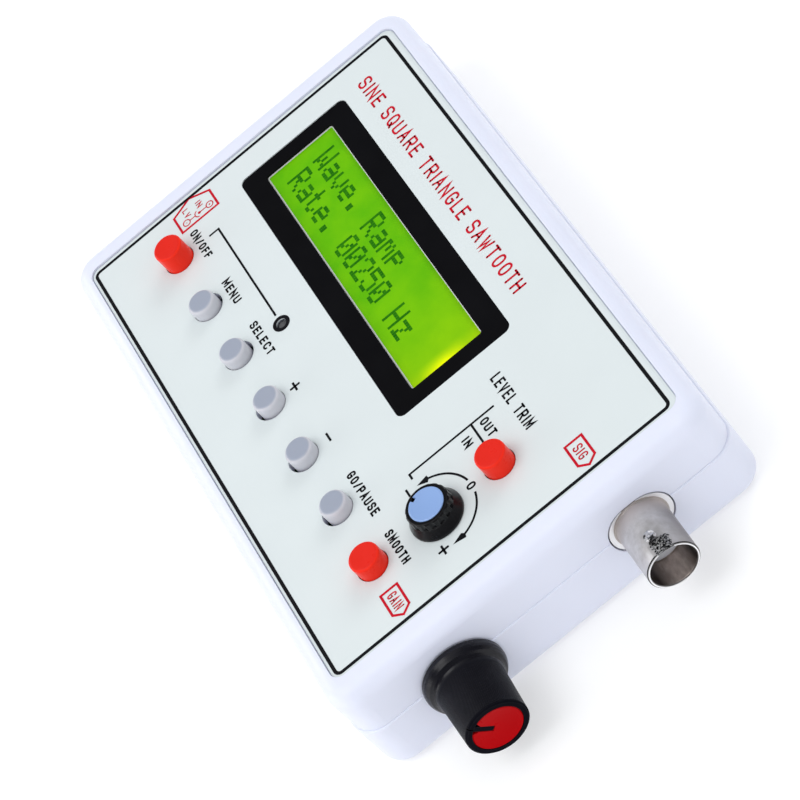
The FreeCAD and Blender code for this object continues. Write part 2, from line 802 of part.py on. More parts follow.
def latch_switches():
    bodies = []
    for name, x, y, top in latch_buttons:
        case = block(x, y, board_top, "latch_side", "latch_side", "latch_height")
        bore = block(x, y, board_top + " + 1", "latch_stem_side + 0.12",
                     "latch_stem_side + 0.12", "latch_height")
        bodies.append(less(case, bore))
        node(name + "_switch_stem", block(x, y, top + " - 17.3", "latch_stem_side",
                                          "latch_stem_side", "15.8"))
        cap = new_body(name + "_button_cap", x, y, top + " - red_cap_depth")
        lathe(cap, [
            ("0", "0"), ("red_cap_radius", "0"), ("red_cap_radius", "red_cap_depth"),
            ("0", "red_cap_depth - red_cap_dish"),
        ])
        dress(cap, "Fillet", "red_cap_round", flat_at("red_cap_depth"))
        sketch = new_sketch(cap)
        draw_rounded(sketch, "0", "0", "latch_stem_side + 0.04", "latch_stem_side + 0.04", "0.01")
        pocket(cap, sketch, "red_cap_depth - 1.3", flipped=True)
    node("latching_switch_bodies", group(*bodies))


# ---------------------------------------------------------------- offset control
FLUTES = 16


def offset_control():
    x = "offset_knob_x"
    y = "offset_knob_y"
    low = "(panel_thickness + %s + 0.15)" % panel_floor
    grip_low = "(offset_knob_top - offset_knob_band)"
    body = new_body("offset_knob", x, y)
    lathe(body, [
        ("pot_shaft_radius + 0.02", low), ("offset_knob_base", low),
        ("offset_knob_base - 0.03", low + " + 0.35"), ("offset_knob_grip + 0.12", grip_low),
        ("offset_knob_grip", "offset_knob_top - 0.25"),
        ("offset_knob_grip - 0.25", "offset_knob_top"),
        ("offset_cap_radius + 0.03", "offset_knob_top"),
        ("offset_cap_radius + 0.03", "offset_knob_top - 0.6"), ("0", "offset_knob_top - 0.6"),
        ("0", "offset_knob_top - 1.4"), ("pot_shaft_radius + 0.02", "offset_knob_top - 1.4"),
    ])
    sketch = new_sketch(body, height="offset_knob_top")
    draw_circle(sketch, "offset_knob_grip + flute_radius - flute_depth", "0", "flute_radius")
    flute = pocket(body, sketch, "offset_knob_top - %s" % grip_low)
    around(body, flute, FLUTES)
    body.Placement.Rotation = FreeCAD.Rotation(Vector(0, 0, 1), number("offset_pointer"))

    cap = new_body("offset_knob_cap", x, y, turn=FreeCAD.Rotation(
        Vector(0, 0, 1), number("offset_pointer")))
    lathe(cap, [
        ("0", "offset_knob_top - 0.58"), ("offset_cap_radius", "offset_knob_top - 0.58"),
        ("offset_cap_radius", "offset_knob_top + 0.12"),
        ("offset_cap_radius - 0.25", "offset_knob_top + 0.25"),
        ("0", "offset_knob_top + 0.25"),
    ])
    sketch = new_sketch(cap, height="offset_knob_top + 0.3")
    draw_outline(sketch, [
        ("offset_cap_radius - pointer_length", "-pointer_half"),
        ("offset_cap_radius + 0.5", "-pointer_half"),
        ("offset_cap_radius + 0.5", "pointer_half"),
        ("offset_cap_radius - pointer_length", "pointer_half"),
    ])
    pocket(cap, sketch, "2")

    shaft = less(rod(x, y, board_top + " + 1.3", "pot_shaft_radius",
                     "offset_knob_top - 1.45 - %s - 1.3" % board_top),
                 block(x, y, "offset_knob_top - 4.8", "0.8", "8", "4"))
    node("offset_pot_shaft", shaft)
    case = block(x, y, board_top, "9.8", "9.8", "6.6")
    neck = rod(x, y, board_top + " + 6.5", "3.9", "3")
    bore = rod(x, y, board_top + " + 1.2", "pot_shaft_radius + pot_shaft_gap", "12")
    node("offset_pot_body", less(fused(case, neck), bore))


# ---------------------------------------------------------------- amplitude control
def amplitude_control():
    back = "(base_proud + 0.15)"
    reach = "amplitude_reach"
    shaft_back = "(%s - 8)" % end_wall
    body = new_body("amplitude_knob", end_wall, "amplitude_y", "amplitude_z", ALONG_X)
    lathe(body, [
        ("amplitude_hub", back), ("amplitude_flange", back), ("amplitude_flange", "1.3"),
        ("amplitude_flange - 0.15", "1.8"), ("amplitude_flange - 0.5", "2.4"),
        ("amplitude_flange - 0.95", "2.7"), ("amplitude_root + 0.2", "3.0"),
        ("amplitude_root + 0.05", "3.4"), ("amplitude_root", "3.9"),
        ("amplitude_face", reach + " - 0.3"), ("amplitude_face - 0.3", reach),
        ("amplitude_insert + 0.05", reach), ("amplitude_insert + 0.05", reach + " - 0.8"),
        ("0", reach + " - 0.8"), ("0", reach + " - 1.8"),
        ("pot_shaft_radius + thread_gap", reach + " - 1.8"),
        ("pot_shaft_radius + thread_gap", "amplitude_hub_depth"),
        ("amplitude_hub", "amplitude_hub_depth"),
    ])
    pointer = number("amplitude_pointer") + 90
    turned = ALONG_X.multiply(FreeCAD.Rotation(Vector(0, 0, 1), pointer))
    body.Placement = FreeCAD.Placement(body.Placement.Base, turned)
    sketch = new_sketch(body, height=reach)
    draw_outline(sketch, [
        ("amplitude_insert - 0.2", "-amplitude_groove_half"),
        ("amplitude_face + 0.5", "-amplitude_groove_half"),
        ("amplitude_face + 0.5", "amplitude_groove_half"),
        ("amplitude_insert - 0.2", "amplitude_groove_half"),
    ])
    pocket(body, sketch, "0.5")
    sketch = new_sketch(body, height=reach + " - 0.85")
    draw_rounded(sketch, "(0.8 + amplitude_insert) / 2", "0", "amplitude_insert - 0.8",
                 "amplitude_arm", "0.4 * amplitude_arm")
    pad(body, sketch, "0.75")

    insert = new_body("amplitude_knob_insert", end_wall, "amplitude_y", "amplitude_z", turned)
    lathe(insert, [
        ("0", reach + " - 0.78"), ("amplitude_insert", reach + " - 0.78"),
        ("amplitude_insert", reach + " - 0.2"), ("amplitude_insert - 0.15", reach + " - 0.05"),
        ("0", reach + " - 0.05"),
    ])
    sketch = new_sketch(insert, height=reach)
    draw_outline(sketch, [
        ("0.7", "-amplitude_slot_half"), ("amplitude_insert - 1.1", "-amplitude_slot_half"),
        ("amplitude_insert", "-1.25"), ("amplitude_insert + 1", "-1.25"),
        ("amplitude_insert + 1", "1.25"), ("amplitude_insert", "1.25"),
        ("amplitude_insert - 1.1", "amplitude_slot_half"), ("0.7", "amplitude_slot_half"),
    ])
    pocket(insert, sketch, "2")

    shaft = less(rod(shaft_back, "amplitude_y", "amplitude_z", "pot_shaft_radius",
                     "%s - 1.85 + 8" % reach, ALONG_X),
                 block("%s + %s - 4" % (end_wall, reach), "amplitude_y", "amplitude_z - 0.4",
                       "5", "8", "0.8"))
    node("amplitude_pot_shaft", shaft)
    front = "(%s - wall - 0.6)" % end_wall
    case = block(front + " - 4", "amplitude_y", board_top, "8", "10",
                 "2 * (amplitude_z - %s)" % board_top)
    bore = rod("%s - 6.5" % front, "amplitude_y", "amplitude_z", "pot_shaft_radius + pot_shaft_gap",
               "9", ALONG_X)
    node("amplitude_pot_body", less(case, bore))
    collar = rod(front, "amplitude_y", "amplitude_z", "amplitude_bushing", "4.4", ALONG_X)
    hole = rod(front + " - 1", "amplitude_y", "amplitude_z", "pot_shaft_radius + pot_shaft_gap", "8",
               ALONG_X)
    node("amplitude_pot_bushing", less(collar, hole))


# ---------------------------------------------------------------- output socket
def output_socket():
    reach = "output_reach"
    face = "(%s - output_face_back)" % reach
    shell = new_body("output_socket_shell", end_wall, "output_y", "output_z", ALONG_X)
    lathe(shell, [
        ("output_seat", "-output_tail"), ("output_barrel - 0.2", "-output_tail"),
        ("output_barrel - 0.2", "output_plate_back"), ("output_ring", "output_plate_back"),
        ("output_ring", "output_ring_front - 0.08"), ("output_barrel", "output_ring_front"),
        ("output_barrel", reach + " - 0.25"),
        ("output_barrel - 0.25", reach), ("output_bore + 0.2", reach),
        ("output_bore", reach + " - output_rim_chamfer"), ("output_bore", face),
        ("output_seat", face),
    ])
    sketch = new_sketch(shell, "YZ_Plane")
    lug_x = reach + " - output_lug_back"
    draw_circle(sketch, "0", lug_x, "output_lug_radius")
    lugs = pad(shell, sketch, "2 * output_lug_tip")
    lugs.Midplane = True
    sketch = new_sketch(shell, "XY_Plane", face)
    draw_circle(sketch, "0", "0", "output_bore")
    pocket(shell, sketch, "output_face_back + 1", flipped=True)
    # the flats milled from each lug to the rim
    for side in (-1, 1):
        sketch = new_sketch(shell, "YZ_Plane", "(output_barrel - output_flat_depth) * %d" % side)
        draw_outline(sketch, [
            ("-1.6", lug_x + " + 0.75"), ("1.6", lug_x + " + 0.75"),
            ("1.6", reach + " + 1"), ("-1.6", reach + " + 1"),
        ])
        pocket(shell, sketch, "2", flipped=side > 0)
    # the long-sided front plate that fills the opening in the end wall
    sketch = new_sketch(shell, height="output_plate_back")
    draw_rounded(sketch, "0", "0", "output_plate_height", "output_plate_width",
                 "output_plate_height / 2 - 0.05")
    draw_circle(sketch, "0", "0", "output_barrel - 0.3")
    pad(shell, sketch, "output_plate_front - output_plate_back")

    tail = end_wall + " - output_tail"
    housing = less(
        block(tail + " - 0.5", "output_y", board_top, "output_housing_side",
              "output_housing_side", "2 * (output_z - %s)" % board_top),
        rod(tail + " - 0.1", "output_y", "output_z", "output_barrel - 0.18", "12", ALONG_X))
    node("output_socket_housing", housing)

    insulator = less(
        rod(tail, "output_y", "output_z", "output_seat - 0.01", face + " + output_tail", ALONG_X),
        rod(tail + " - 1", "output_y", "output_z", "output_contact + 0.02", "20", ALONG_X))
    node("output_socket_insulator", insulator)
    contact = less(
        rod(tail, "output_y", "output_z", "output_contact", face + " + output_tail - 0.2",
            ALONG_X),
        rod(end_wall, "output_y", "output_z", "output_contact_bore", "9", ALONG_X))
    node("output_socket_contact", contact)


# ---------------------------------------------------------------- power socket
def power_socket():
    length = "jack_length"
    case = block(jack_front + " + %s / 2" % length, "jack_y", board_top, length, "jack_width",
                 "jack_height")
    top = number(board_top) + number("jack_height")
    case = rounded_edges(case, "jack_round", lambda edge: edge.BoundBox.XLength > 10
                         and abs(edge.BoundBox.ZMin - top) < 1e-3)
    mouth = rod(jack_front + " - 1", "jack_y", "jack_z", "jack_bore", "jack_depth + 1", ALONG_X)
    seat = rod(jack_front + " + jack_depth - 1", "jack_y", "jack_z", "jack_tail + 0.02",
               length, ALONG_X)
    node("power_socket_body", less(case, mouth, seat))
    pin = new_body("power_socket_pin", jack_front, "jack_y", "jack_z", ALONG_X)
    tail = length + " - 0.2"
    lathe(pin, [
        ("0", "jack_pin_back"), ("jack_pin - 0.25", "jack_pin_back"),
        ("jack_pin", "jack_pin_back + 0.25"), ("jack_pin", "jack_depth"),
        ("jack_tail", "jack_depth"), ("jack_tail", tail), ("0", tail),
    ])
    spring = block(jack_front + " + 8", "jack_y + jack_bore - 0.2", "jack_z - 0.75", "3", "0.25",
                   "1.5")
    node("power_socket_spring", spring)


# ---------------------------------------------------------------- build and write
bottom_shell()
top_shell()
panel_overlay()
fasteners()
display()
main_board()
header()
electronics()
indicator()
tact_switches()
latch_switches()
offset_control()
amplitude_control()
output_socket()
power_socket()
document.recompute()

for thing in document.Objects:
    for word in thing.State:
        if word in ("Invalid", "Error"):
            raise RuntimeError("%s is %s" % (thing.Label, word))
for label, thing in nodes.items():
    if thing.Shape.isNull() or not thing.Shape.isValid():
        raise RuntimeError("%s has no valid shape" % label)
    if not thing.Shape.Solids:
        raise RuntimeError("%s has no solid" % label)

os.makedirs("parts", exist_ok=True)
for label, thing in nodes.items():
    thing.Shape.exportStep("parts/%s.step" % label)
print("%d sub-parts written" % len(nodes))
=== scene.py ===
import json
import math
import bmesh
import bpy
from mathutils import Matrix, Vector


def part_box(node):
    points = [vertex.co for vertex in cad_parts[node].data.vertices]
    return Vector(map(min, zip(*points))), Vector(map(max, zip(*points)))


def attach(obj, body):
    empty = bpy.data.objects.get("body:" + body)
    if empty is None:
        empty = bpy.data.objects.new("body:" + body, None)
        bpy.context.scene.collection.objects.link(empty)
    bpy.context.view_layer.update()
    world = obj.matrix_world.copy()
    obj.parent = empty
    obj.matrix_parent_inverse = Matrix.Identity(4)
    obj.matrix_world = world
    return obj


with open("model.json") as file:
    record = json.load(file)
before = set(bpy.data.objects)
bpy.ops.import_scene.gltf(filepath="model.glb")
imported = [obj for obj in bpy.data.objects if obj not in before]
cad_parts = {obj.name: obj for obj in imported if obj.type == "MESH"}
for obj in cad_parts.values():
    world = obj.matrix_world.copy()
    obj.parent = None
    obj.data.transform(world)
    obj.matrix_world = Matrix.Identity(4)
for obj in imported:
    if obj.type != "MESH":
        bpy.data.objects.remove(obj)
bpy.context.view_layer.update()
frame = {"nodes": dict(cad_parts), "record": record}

MM = 0.001
NODES = frame["nodes"]
MATERIALS = {}

# ------------------------------------------------------------------ places taken from the frame
PANEL_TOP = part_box("panel_overlay")[1].z
END_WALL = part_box("top_shell")[1].x
GLASS_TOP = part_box("display_glass")[1].z
WINDOW = (-15.05, 8.9, 64.9, 15.1)    # the bezel's window: centre x and y, length, width (mm)
WINDOW_LEFT, WINDOW_RIGHT = WINDOW[0] - WINDOW[2] / 2, WINDOW[0] + WINDOW[2] / 2
WINDOW_LOW, WINDOW_HIGH = WINDOW[1] - WINDOW[3] / 2, WINDOW[1] + WINDOW[3] / 2
INK_LIFT = 0.012 * MM
INK_DEPTH = 0.02 * MM


def middle(node):
    """The centre of a CAD node's box."""
    low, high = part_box(node)
    return (low + high) / 2


# ------------------------------------------------------------------ materials
class Graph:
    """A short way to write a material's node tree."""

    def __init__(self, name):
        self.material = bpy.data.materials.new(name)
        self.material.use_nodes = True
        self.tree = self.material.node_tree
        self.tree.nodes.clear()
        self.output = self.add("ShaderNodeOutputMaterial")
        self.shader = self.add("ShaderNodeBsdfPrincipled")
        self.join(self.shader, "BSDF", self.output, "Surface")
        self.place = self.add("ShaderNodeTexCoord")
        MATERIALS[name] = self.material

    def add(self, kind, **values):
        node = self.tree.nodes.new(kind)
        for key, value in values.items():
            setattr(node, key, value)
        return node

    def join(self, source, output, target, socket):
        self.tree.links.new(source.outputs[output], target.inputs[socket])

    def set(self, **values):
        """Set inputs of the shader: underscores stand for spaces."""
        for key, value in values.items():
            self.shader.inputs[key.replace("_", " ")].default_value = value

    def noise(self, size, detail=3.0, rough=0.5, stretch=(1, 1, 1)):
        """Noise whose features are about size across, in millimetres."""
        mapping = self.add("ShaderNodeMapping")
        mapping.inputs["Scale"].default_value = stretch
        self.join(self.place, "Object", mapping, "Vector")
        node = self.add("ShaderNodeTexNoise")
        node.inputs["Scale"].default_value = 1 / (size * MM)
        node.inputs["Detail"].default_value = detail
        node.inputs["Roughness"].default_value = rough
        self.join(mapping, "Vector", node, "Vector")
        return node

    def spread(self, source, low, high, output="Fac", start=0.3, end=0.7):
        """Map a value between start and end to between low and high."""
        node = self.add("ShaderNodeMapRange")
        node.inputs["From Min"].default_value = start
        node.inputs["From Max"].default_value = end
        node.inputs["To Min"].default_value = low
        node.inputs["To Max"].default_value = high
        self.join(source, output, node, "Value")
        return node

    def math(self, operation, first, second=None):
        """An operation on values, each a number, a node or a (node, output) pair."""
        node = self.add("ShaderNodeMath", operation=operation)
        for index, value in enumerate((first, second)):
            if value is None:
                continue
            if isinstance(value, (int, float)):
                node.inputs[index].default_value = value
                continue
            source, output = value if isinstance(value, tuple) else (value, None)
            if output is None:
                output = "Value" if "Value" in source.outputs else source.outputs[0].name
            self.join(source, output, node, index)
        return node

    def mix(self, factor, first, second, output="Result"):
        """Blend two colours, each a tuple or a (node, output) pair."""
        node = self.add("ShaderNodeMix", data_type="RGBA")
        if isinstance(factor, (int, float)):
            node.inputs[0].default_value = factor
        else:
            self.join(factor, output, node, 0)
        for index, colour in ((6, first), (7, second)):
            if isinstance(colour[0], (int, float)):
                node.inputs[index].default_value = (*colour[:3], 1)
            else:
                self.tree.links.new(colour[0].outputs[colour[1]], node.inputs[index])
        return (node, 2)

    def colour(self, source, socket="Base Color"):
        if isinstance(source[0], (int, float)):
            self.shader.inputs[socket].default_value = (*source[:3], 1)
        else:
            self.tree.links.new(source[0].outputs[source[1]], self.shader.inputs[socket])

    def bump(self, layers, edge=0.0):
        """Bump from (source, output, depth in mm) layers, over edges softened by edge mm."""
        normal = None
        if edge:
            normal = self.add("ShaderNodeBevel", samples=6)
            normal.inputs["Radius"].default_value = edge * MM
        for source, output, depth in layers:
            node = self.add("ShaderNodeBump")
            node.inputs["Strength"].default_value = 1.0
            node.inputs["Distance"].default_value = depth * MM
            self.join(source, output, node, "Height")
            if normal is not None:
                self.join(normal, "Normal", node, "Normal")
            normal = node
        self.join(normal, "Normal", self.shader, "Normal")

    def more_bump(self, height, depth):
        """Another bump, depth mm high, over the normal that the shader already has."""
        last = self.shader.inputs["Normal"].links[0].from_node
        node = self.add("ShaderNodeBump")
        node.inputs["Distance"].default_value = depth * MM
        self.join(height, "Value", node, "Height")
        self.join(last, "Normal", node, "Normal")
        self.join(node, "Normal", self.shader, "Normal")

    def edges(self, radius):
        """A value that is high where the surface turns over an edge."""
        bevel = self.add("ShaderNodeBevel", samples=6)
        bevel.inputs["Radius"].default_value = radius * MM
        plain = self.add("ShaderNodeNewGeometry")
        dot = self.add("ShaderNodeVectorMath", operation="DOT_PRODUCT")
        self.join(bevel, "Normal", dot, 0)
        self.join(plain, "Normal", dot, 1)
        return self.spread(dot, 1.0, 0.0, output="Value", start=0.93, end=0.998)


def coordinates(g):
    """The split object coordinates."""
    split = g.add("ShaderNodeSeparateXYZ")
    g.join(g.place, "Object", split, "Vector")
    return split


def tinted(colour, factor):
    return tuple(min(1.0, channel * factor) for channel in colour)


def plastic(name, colour, rough, grain=0.35, depth=0.006, vary=0.05, edge=0.12, edge_wear_and_highlight=0.0,
            sub=0.0, shine=0.5):
    """Moulded plastic: a fine spark-eroded grain, faint shade changes, and paler edges that are
    wear on some parts and a painted highlight on others.
    """
    g = Graph(name)
    broad = g.noise(14, 2)
    fine = g.noise(grain, 4, 0.6)
    base = g.mix(g.spread(broad, 0, 1), tinted(colour, 1 - vary), tinted(colour, 1 + vary))
    # Paler edges: real wear on the black parts, a painted rim highlight on the red and grey
    # buttons.
    if edge_wear_and_highlight:
        worn_and_lit_edges = g.math("MULTIPLY", g.edges(0.2), g.spread(g.noise(1.2, 4), 0, edge_wear_and_highlight))
        pale = tuple(channel + (1 - channel) * 0.35 for channel in colour)
        base = g.mix(worn_and_lit_edges, base, pale, output="Value")
    g.colour(base)
    smudges = g.spread(g.noise(6, 5, 0.65), rough * 0.82, rough * 1.22)
    g.join(smudges, "Result", g.shader, "Roughness")
    g.bump([(fine, "Fac", depth), (broad, "Fac", 0.02)], edge)
    g.set(IOR=1.5, Specular_IOR_Level=shine)
    if sub:
        g.set(Subsurface_Weight=sub, Subsurface_Scale=0.6 * MM)
        g.shader.inputs["Subsurface Radius"].default_value = (1.0, 0.7, 0.6)
    return g


def metal(name, colour, rough):
    """Plated or bare metal with fine marks and slight tarnish."""
    g = Graph(name)
    marks = g.noise(0.25, 5, 0.7)
    cloud = g.noise(2.2, 4, 0.6)
    g.colour(g.mix(g.spread(cloud, 0, 1, start=0.35, end=0.75), colour, tinted(colour, 0.75)))
    g.join(g.spread(marks, rough * 0.7, rough * 1.5), "Result", g.shader, "Roughness")
    g.bump([(marks, "Fac", 0.003)], 0.08)
    g.set(Metallic=1.0)


def ink(name, colour):
    """Screen-printed ink: even colour with a trace of mottle and a satin surface."""
    g = Graph(name)
    g.colour(g.mix(g.spread(g.noise(0.5, 4), 0, 1), tinted(colour, 0.85), tinted(colour, 1.15)))
    g.join(g.spread(g.noise(0.3, 3), 0.38, 0.5), "Result", g.shader, "Roughness")
    g.set(Specular_IOR_Level=0.12)
    g.bump([(g.noise(0.15, 2), "Fac", 0.002)])


def board(name, colour):
    """Circuit board: green solder mask over a woven core, with the shadow of its tracks."""
    g = Graph(name)
    weave = g.add("ShaderNodeTexVoronoi", feature="F1", distance="CHEBYCHEV")
    weave.inputs["Scale"].default_value = 1 / (0.9 * MM)
    g.join(g.place, "Object", weave, "Vector")
    tracks = g.spread(g.noise(2.5, 0), 0, 1, start=0.48, end=0.52)
    g.colour(g.mix(tracks, colour, tinted(colour, 1.7)))
    g.set(Roughness=0.35)
    g.bump([(weave, "Distance", 0.01), (tracks, "Result", 0.03)], 0.1)


def lit_display():
    """Yellow-green backlit glass, with a tight glow where the lamp sits behind its end."""
    g = Graph("display_green")
    lamp_y = WINDOW[1] - 0.6
    split = coordinates(g)
    edge = WINDOW_RIGHT * MM
    near = g.spread(split, 0, 1, output="X", start=edge - 3.6 * MM, end=edge)
    tight = g.math("POWER", near, 1.7)
    away = g.math("ABSOLUTE", g.math("SUBTRACT", (split, "Y"), lamp_y * MM))
    lamp = g.spread(away, 1.0, 0.15, output="Value", start=0.6 * MM, end=5.0 * MM)
    spot = g.math("MULTIPLY", tight, lamp)
    far = g.math("POWER", g.spread(split, 0, 1, output="X", start=edge - 30 * MM, end=edge), 2.0)
    glow = g.math("ADD", spot, g.math("MULTIPLY", far, 0.13))
    mottle = g.spread(g.noise(5, 3), 0, 1)
    green = g.mix(mottle, (0.09, 0.38, 0.002), (0.135, 0.43, 0.002))
    lit = g.mix(glow, green, (0.95, 0.97, 0.0), output="Value")
    g.colour(lit)
    g.colour(lit, "Emission Color")
    g.set(Emission_Strength=0.13, Roughness=0.3, Specular_IOR_Level=0.05)
    g.bump([(g.noise(0.2, 2), "Fac", 0.001)])


def display_dots():
    """The switched-on dots: dark green, with the backlight still showing a little."""
    g = Graph("display_dots")
    g.colour(g.mix(g.spread(g.noise(1.2, 3), 0, 1), (0.012, 0.125, 0.006), (0.028, 0.19, 0.006)))
    g.set(Roughness=0.6, Specular_IOR_Level=0.0)
    g.bump([(g.noise(0.2, 2), "Fac", 0.001)])


def between(g, source, output, low, high, soft=0.15 * MM):
    """1 where a value lies between low and high, else 0, with soft sides."""
    above = g.spread(source, 0, 1, output=output, start=low, end=low + soft)
    below = g.spread(source, 1, 0, output=output, start=high - soft, end=high)
    return g.math("MULTIPLY", above, below)


def round_axis(g, split, centre):
    """The turn about an axis along X through centre, and the distance from it."""
    across = g.math("SUBTRACT", (split, "Y"), centre.y)
    above = g.math("SUBTRACT", (split, "Z"), centre.z)
    joined = g.add("ShaderNodeCombineXYZ")
    g.join(across, "Value", joined, "X")
    g.join(above, "Value", joined, "Y")
    length = g.add("ShaderNodeVectorMath", operation="LENGTH")
    g.join(joined, "Vector", length, 0)
    return g.math("ARCTAN2", across, above), length


def socket_metal():
    """Nickel plate: satin barrel with painted shade on its far side and near the wall, a
    brown-tinged bore with a painted lit lower wall, painted shade and highlight at the rim, and
    a pitted patch from lug to rim.
    """
    g = Graph("nickel")
    centre = middle("output_socket_contact")
    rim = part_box("output_socket_shell")[1].x
    bore_wall, barrel_wall = 4.1 * MM, 4.7 * MM
    fade = 0.05 * MM
    split = coordinates(g)
    angle, length = round_axis(g, split, centre)
    around = g.noise(0.2, 4, 0.7, (14, 1, 1))
    cloud = g.noise(1.8, 5, 0.65)

    def beyond(radius):
        """1 further from the axis than radius, else 0."""
        return g.spread(length, 0, 1, output="Value", start=radius, end=radius + fade)

    ragged = g.math("MULTIPLY", g.math("SUBTRACT", (g.noise(0.45, 3), "Fac"), 0.5), 0.5)
    barrel = g.mix(g.spread(cloud, 0, 1, start=0.35, end=0.75), (0.64, 0.625, 0.63),
                   (0.46, 0.44, 0.43))
    # Painted shade: the barrel darkens towards its far side, turned away from the light.
    far_side_painted_shade = g.spread(angle, 0, 1, output="Value", start=0.45, end=1.25)
    barrel = g.mix(far_side_painted_shade, barrel, (0.24, 0.22, 0.215))
    # Painted shade near the wall, with a brown tint: the barrel darker and browner towards the
    # wall.
    wall_shade_and_tint = g.spread(split, 1, 0, output="X", start=END_WALL + 1.0 * MM,
                         end=END_WALL + 3.6 * MM)
    barrel = g.mix(wall_shade_and_tint, barrel, (0.47, 0.42, 0.40))
    flange = beyond(barrel_wall + 0.3 * MM)
    barrel = g.mix(flange, barrel, (0.86, 0.86, 0.88))
    inside = g.spread(length, 1, 0, output="Value", start=bore_wall + 0.02 * MM,
                      end=bore_wall + 0.1 * MM)
    streaks = g.spread(g.noise(0.9, 4, 0.6, (0.4, 1, 1)), 0, 1)
    bore = g.mix(streaks, (0.42, 0.34, 0.30), (0.66, 0.56, 0.51))
    # Painted light in the bore: dark all round except its lower wall, painted as lit.
    lower = g.spread(g.math("ABSOLUTE", angle), 0, 1, output="Value", start=2.1, end=2.9)
    bore = g.mix(lower, (0.02, 0.013, 0.011), bore)
    metal_tone = g.mix(inside, barrel, bore)
    # Painted shade and highlight at the rim: a dark band just behind it and a near-white end
    # face.
    outline = between(g, split, "X", rim - 0.32 * MM, rim - 0.08 * MM, 0.06 * MM)
    outline = g.math("MULTIPLY", outline, g.math("SUBTRACT", 1.0, inside))
    metal_tone = g.mix(outline, metal_tone, (0.03, 0.03, 0.03), output="Value")
    end_face = g.spread(split, 0, 1, output="X", start=rim - 0.06 * MM, end=rim - 0.02 * MM)
    rim_highlight = g.math("MULTIPLY", end_face, beyond(bore_wall + 0.13 * MM))
    metal_tone = g.mix(rim_highlight, metal_tone, (0.95, 0.95, 0.96), output="Value")
    across = between(g, g.math("ADD", angle, ragged), "Value", -0.2, 0.52, 0.05)
    along = g.spread(g.math("ADD", (split, "X"), g.math("MULTIPLY", ragged, 0.8 * MM)), 0, 1,
                     output="Value", start=rim - 2.95 * MM, end=rim - 2.85 * MM)
    off_plate = g.spread(split, 0, 1, output="X", start=END_WALL + 4 * MM,
                         end=END_WALL + 4.1 * MM)
    lug = g.math("MULTIPLY", beyond(barrel_wall + 0.15 * MM), off_plate)
    patch = g.math("MULTIPLY", g.math("MULTIPLY", across, along),
                   g.math("SUBTRACT", beyond(bore_wall + 0.2 * MM), lug))
    pits = g.noise(0.3, 5, 0.55)
    pitted = g.mix(g.spread(pits, 0, 1, start=0.46, end=0.66), (0.006, 0.006, 0.007),
                   (0.72, 0.72, 0.72))
    curls = g.noise(0.8, 2, 0.5)
    swirls = g.math("MULTIPLY", curls, lug)
    dark_curl = g.math("MULTIPLY", g.spread(curls, 0, 1, start=0.52, end=0.6), lug)
    metal_tone = g.mix(dark_curl, metal_tone, (0.05, 0.05, 0.05), output="Value")
    g.colour(g.mix(patch, metal_tone, pitted, output="Value"))
    g.join(g.spread(around, 0.3, 0.46), "Result", g.shader, "Roughness")
    rough_height = g.math("MULTIPLY", (pits, "Fac"), patch)
    g.bump([(around, "Fac", 0.0015), (rough_height, "Value", 0.2), (swirls, "Value", 0.5)], 0.15)
    bright = g.math("MAXIMUM", patch, lug)
    g.join(g.spread(bright, 0.6, 1.0, output="Value", start=0, end=1), "Result", g.shader,
           "Metallic")


def grip_plastic():
    """Black plastic of the amplitude knob, finely ribbed along its body."""
    g = plastic("grip_plastic", (0.005, 0.005, 0.008), 0.45, grain=0.2, depth=0.004, vary=0.15,
                edge_wear_and_highlight=0.05, shine=0.12)
    low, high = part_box("amplitude_knob")
    split = coordinates(g)
    angle, length = round_axis(g, split, middle("amplitude_knob"))
    ribs = g.math("SINE", g.math("MULTIPLY", angle, 90))
    rows = g.math("SINE", g.math("MULTIPLY", (split, "X"), 2 * math.pi / (0.42 * MM)))
    body = between(g, split, "X", low.x + 3.7 * MM, high.x - 0.5 * MM)
    masked = g.math("MULTIPLY", g.math("MULTIPLY", ribs, rows), body)
    skirt = g.spread(split, 1, 0, output="X", start=low.x + 2.6 * MM, end=low.x + 3.4 * MM)
    polish = g.shader.inputs["Roughness"].links[0].from_node
    g.join(g.math("SUBTRACT", polish, g.math("MULTIPLY", skirt, 0.2)), "Value",
           g.shader, "Roughness")
    face = g.spread(split, 0.1, 0.01, output="X", start=high.x - 0.6 * MM,
                    end=high.x - 0.4 * MM)
    g.join(g.math("ADD", g.math("MULTIPLY", skirt, 0.17), face), "Value",
           g.shader, "Specular IOR Level")
    g.more_bump(masked, 0.03)


def painted_top_shade(g, colour):
    """Another colour on the faces that look straight up: painted shade, the tops darker than the
    lit sides.
    """
    normal = g.add("ShaderNodeNewGeometry")
    split = g.add("ShaderNodeSeparateXYZ")
    g.join(normal, "Normal", split, "Vector")
    level = g.spread(split, 0, 1, output="Z", start=0.75, end=0.98)
    base = g.shader.inputs["Base Color"].links[0].from_node
    g.colour(g.mix(level, (base, 2), colour, output="Result"))


def dish(g, node, axes, radius, depth):
    """Shade a round face as if it were dished by depth mm."""
    centre = middle(node)
    flat = g.add("ShaderNodeCombineXYZ")
    split = coordinates(g)
    for axis in axes:
        g.join(g.math("SUBTRACT", (split, axis), getattr(centre, axis.lower())), "Value",
               flat, axis)
    length = g.add("ShaderNodeVectorMath", operation="LENGTH")
    g.join(flat, "Vector", length, 0)
    share = g.math("MULTIPLY", (length, "Value"), 1 / (radius * MM))
    g.more_bump(g.math("POWER", share, 2.0), depth)


WHITE = (0.72, 0.745, 0.86)
PANEL = (0.665, 0.718, 0.72)
BLACK = (0.003, 0.003, 0.004)
RED = (0.84, 0.024, 0.009)
GREY = (0.56, 0.56, 0.605)


